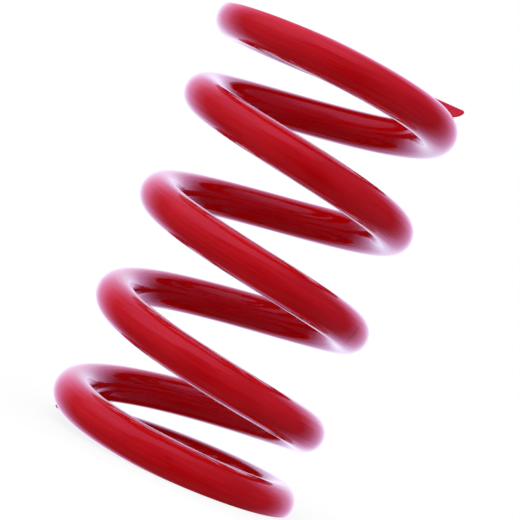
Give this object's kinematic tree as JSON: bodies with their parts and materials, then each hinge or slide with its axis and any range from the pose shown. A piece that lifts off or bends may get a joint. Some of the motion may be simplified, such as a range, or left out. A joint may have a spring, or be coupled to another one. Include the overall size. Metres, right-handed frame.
{
  "type": "shock absorber spring",
  "caption": "Helical compression spring of round coated wire, wound left-handed with open turns, closed and ground flat at both ends, which fits around a damper between two spring seats.",
  "frame": {"origin": "centre of the lower ground face, on the coil's axis", "axes": "+Z along the coil's axis, from the lower ground face to the upper one; +X to the right in the picture and +Y away from the viewer"},
  "size_m": [0.0914, 0.0914, 0.15],
  "materials": {
    "red_powder_coat": "gloss"
  },
  "bodies": {
    "root": {"coil_spring": "red_powder_coat"}
  },
  "joints": []
}
